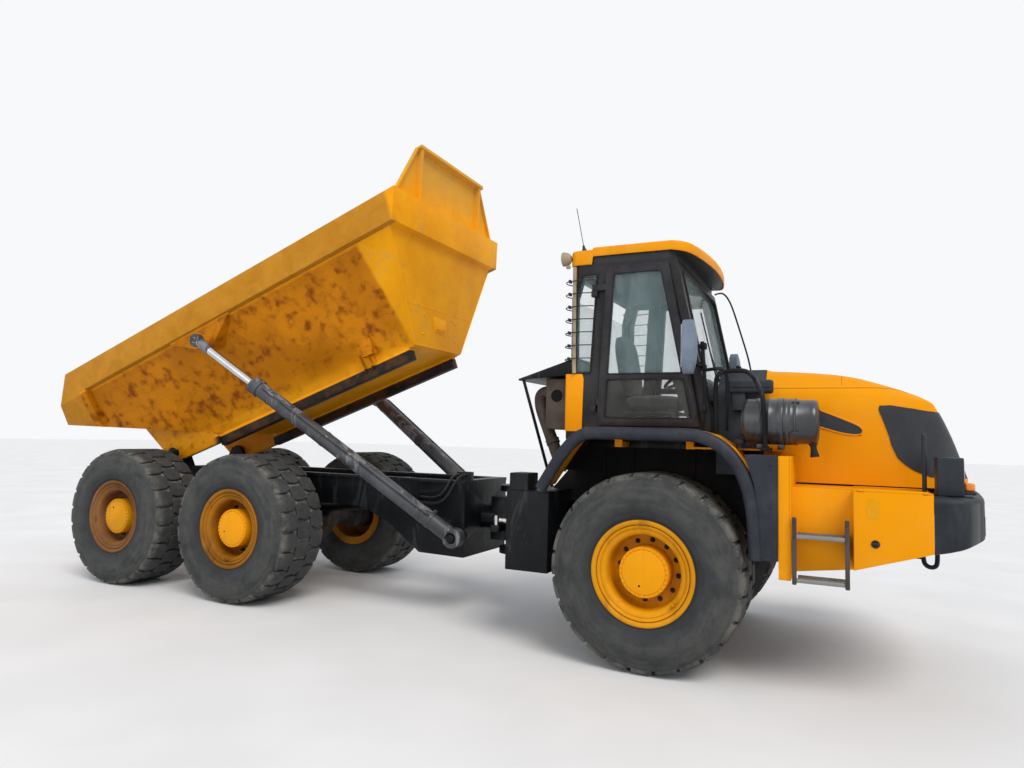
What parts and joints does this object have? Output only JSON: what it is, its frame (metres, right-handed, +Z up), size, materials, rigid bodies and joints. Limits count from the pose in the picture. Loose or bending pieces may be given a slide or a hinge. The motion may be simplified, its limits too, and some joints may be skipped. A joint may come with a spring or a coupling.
{
  "type": "articulated dump truck",
  "caption": "Articulated six-wheel dump truck with a high-sided tipping bed on its rear frame and a cab with a sloping bonnet on its front frame.",
  "frame": {"origin": "centre of the bounding box at the ground, under the middle of the truck", "axes": "+X forward, the way the cab faces; +Y to the driver's left; +Z up"},
  "size_m": [9.4788, 2.592, 4.5868],
  "materials": {
    "bed_paint": "scratched paint with dust and scoured steel",
    "body_paint": "semi-gloss paint, dusty",
    "chassis_paint": "satin black, dusty",
    "dark_grey": "satin dark grey",
    "tyre_rubber": "matte with dried mud",
    "rim_paint": "satin, dusty",
    "axle_iron": "oily and dusty",
    "engine_iron": "cast and painted grey",
    "trim_rubber": "matte",
    "hose_rubber": "semi-matte",
    "exhaust_shield": "heat-stained, dusty",
    "black_plastic": "fine grain",
    "window_glass": "lightly tinted",
    "seat_cloth": "woven",
    "step_steel": "galvanised",
    "rod_chrome": "polished"
  },
  "bodies": {
    "tractor": {"front_axle": "axle_iron", "front_chassis": "chassis_paint", "outriggers": "chassis_paint", "chassis_posts": "chassis_paint", "engine_block": "engine_iron", "bumper": "dark_grey", "lamps": "dark_grey", "side_boxes": "body_paint", "steps": "step_steel", "fenders": "body_paint", "fender_trims": "trim_rubber", "side_tanks": "chassis_paint", "rear_deck": "chassis_paint", "exhaust": "exhaust_shield", "air_cleaner": "black_plastic", "cab_frame": "chassis_paint", "cab_roof": "body_paint", "cab_glass": "window_glass", "seat": "seat_cloth", "dashboard": "black_plastic", "mirrors": "black_plastic", "handrails": "chassis_paint", "cowl": "body_paint"},
    "swivel": {"swivel_block": "chassis_paint"},
    "rear_frame": {"rear_frame": "chassis_paint", "mid_axle": "axle_iron", "rear_axle": "axle_iron", "hoist_hoses": "hose_rubber"},
    "bed": {"bed": "bed_paint"},
    "steering_wheel": {"steering_wheel": "black_plastic"},
    "bonnet": {"bonnet": "body_paint", "grille": "black_plastic"},
    "wheel_front_right": {"tyre_front_right": "tyre_rubber", "rim_front_right": "rim_paint"},
    "wheel_front_left": {"tyre_front_left": "tyre_rubber", "rim_front_left": "rim_paint"},
    "wheel_mid_right": {"tyre_mid_right": "tyre_rubber", "rim_mid_right": "rim_paint"},
    "wheel_mid_left": {"tyre_mid_left": "tyre_rubber", "rim_mid_left": "rim_paint"},
    "wheel_rear_right": {"tyre_rear_right": "tyre_rubber", "rim_rear_right": "rim_paint"},
    "wheel_rear_left": {"tyre_rear_left": "tyre_rubber", "rim_rear_left": "rim_paint"},
    "hoist_barrel_right": {"hoist_barrel_right": "chassis_paint"},
    "hoist_rod_right": {"hoist_rod_right": "rod_chrome"},
    "steer_barrel_right": {"steer_barrel_right": "chassis_paint"},
    "steer_rod_right": {"steer_rod_right": "rod_chrome"},
    "door_right": {"door_right": "chassis_paint", "door_glass_right": "window_glass"},
    "box_lid_right": {"box_lid_right": "body_paint"},
    "hoist_barrel_left": {"hoist_barrel_left": "chassis_paint"},
    "hoist_rod_left": {"hoist_rod_left": "rod_chrome"},
    "steer_barrel_left": {"steer_barrel_left": "chassis_paint"},
    "steer_rod_left": {"steer_rod_left": "rod_chrome"},
    "door_left": {"door_left": "chassis_paint", "door_glass_left": "window_glass"},
    "box_lid_left": {"box_lid_left": "body_paint"}
  },
  "joints": [
    {"name": "steer", "type": "hinge", "parent": "tractor", "child": "swivel", "pos_m": [0.88944, 0, 0.9], "axis": [0, 0, 1], "range_deg": [-45, 45]},
    {"name": "frame_roll", "type": "hinge", "parent": "swivel", "child": "rear_frame", "pos_m": [0.63944, 0, 0.9], "axis": [1, 0, 0], "range_deg": [-15, 15]},
    {"name": "bed_tip", "type": "hinge", "parent": "rear_frame", "child": "bed", "pos_m": [-3.36056, 0, 1.41], "axis": [0, -1, 0], "range_deg": [-20, 48]},
    {"name": "wheel_front_right_spin", "type": "hinge", "parent": "tractor", "child": "wheel_front_right", "pos_m": [2.48944, -0.975, 0.732], "axis": [0, 1, 0], "continuous": true},
    {"name": "wheel_front_left_spin", "type": "hinge", "parent": "tractor", "child": "wheel_front_left", "pos_m": [2.48944, 0.975, 0.732], "axis": [0, 1, 0], "continuous": true},
    {"name": "wheel_mid_right_spin", "type": "hinge", "parent": "rear_frame", "child": "wheel_mid_right", "pos_m": [-1.66256, -0.975, 0.732], "axis": [0, 1, 0], "continuous": true},
    {"name": "wheel_mid_left_spin", "type": "hinge", "parent": "rear_frame", "child": "wheel_mid_left", "pos_m": [-1.66256, 0.975, 0.732], "axis": [0, 1, 0], "continuous": true},
    {"name": "wheel_rear_right_spin", "type": "hinge", "parent": "rear_frame", "child": "wheel_rear_right", "pos_m": [-3.38756, -0.975, 0.732], "axis": [0, 1, 0], "continuous": true},
    {"name": "wheel_rear_left_spin", "type": "hinge", "parent": "rear_frame", "child": "wheel_rear_left", "pos_m": [-3.38756, 0.975, 0.732], "axis": [0, 1, 0], "continuous": true},
    {"name": "hoist_barrel_right_swing", "type": "hinge", "parent": "rear_frame", "child": "hoist_barrel_right", "pos_m": [0.51944, -0.6, 0.75], "axis": [-0.4105, -0.6622, -0.6269], "range_deg": [-1.6, 3.7]},
    {"name": "hoist_rod_right_slide", "type": "slide", "parent": "hoist_barrel_right", "child": "hoist_rod_right", "axis": [-0.8256, -0.1606, 0.5409], "range_m": [-0.515, 1.232]},
    {"name": "steer_barrel_right_swing", "type": "hinge", "parent": "tractor", "child": "steer_barrel_right", "pos_m": [1.54944, -0.25, 0.9], "axis": [0, 0, 1], "range_deg": [-6, 6]},
    {"name": "steer_rod_right_slide", "type": "slide", "parent": "steer_barrel_right", "child": "steer_rod_right", "axis": [-0.9995, 0.0325, 0], "range_m": [-0.1725, 0.1725]},
    {"name": "door_right_swing", "type": "hinge", "parent": "tractor", "child": "door_right", "pos_m": [1.96944, -0.895, 2], "axis": [0, 0, -1], "range_deg": [0, 78]},
    {"name": "box_lid_right_lift", "type": "hinge", "parent": "tractor", "child": "box_lid_right", "pos_m": [4.08944, -1.243, 1.416], "axis": [-1, 0, 0], "range_deg": [0, 85]},
    {"name": "hoist_barrel_left_swing", "type": "hinge", "parent": "rear_frame", "child": "hoist_barrel_left", "pos_m": [0.51944, 0.6, 0.75], "axis": [0.4105, -0.6622, 0.6269], "range_deg": [-1.6, 3.7]},
    {"name": "hoist_rod_left_slide", "type": "slide", "parent": "hoist_barrel_left", "child": "hoist_rod_left", "axis": [-0.8256, 0.1606, 0.5409], "range_m": [-0.515, 1.232]},
    {"name": "steer_barrel_left_swing", "type": "hinge", "parent": "tractor", "child": "steer_barrel_left", "pos_m": [1.54944, 0.25, 0.9], "axis": [0, 0, 1], "range_deg": [-6, 6]},
    {"name": "steer_rod_left_slide", "type": "slide", "parent": "steer_barrel_left", "child": "steer_rod_left", "axis": [-0.9995, -0.0325, 0], "range_m": [-0.1725, 0.1725]},
    {"name": "door_left_swing", "type": "hinge", "parent": "tractor", "child": "door_left", "pos_m": [1.96944, 0.895, 2], "axis": [0, 0, 1], "range_deg": [0, 78]},
    {"name": "box_lid_left_lift", "type": "hinge", "parent": "tractor", "child": "box_lid_left", "pos_m": [4.08944, 1.243, 1.416], "axis": [1, 0, 0], "range_deg": [0, 85]},
    {"name": "steering_wheel_turn", "type": "hinge", "parent": "tractor", "child": "steering_wheel", "pos_m": [2.63944, 0, 2.11], "axis": [-0.5299, 0, 0.848], "range_deg": [-720, 720]},
    {"name": "bonnet_lift", "type": "hinge", "parent": "tractor", "child": "bonnet", "pos_m": [4.65944, 0, 1.447], "axis": [0, 1, 0], "range_deg": [0, 60]}
  ],
  "couplings": [
    {"joint": "hoist_barrel_right_swing", "follows": "bed_tip", "ratio": 0.0734},
    {"joint": "hoist_rod_right_slide", "follows": "bed_tip", "m_per_rad": 1.4656},
    {"joint": "steer_barrel_right_swing", "follows": "steer", "ratio": 0.1286},
    {"joint": "steer_rod_right_slide", "follows": "steer", "m_per_rad": -0.2192},
    {"joint": "hoist_barrel_left_swing", "follows": "bed_tip", "ratio": 0.0734},
    {"joint": "hoist_rod_left_slide", "follows": "bed_tip", "m_per_rad": 1.4656},
    {"joint": "steer_barrel_left_swing", "follows": "steer", "ratio": 0.1286},
    {"joint": "steer_rod_left_slide", "follows": "steer", "m_per_rad": 0.2192},
    {"joint": "steering_wheel_turn", "follows": "steer", "ratio": -16}
  ]
}
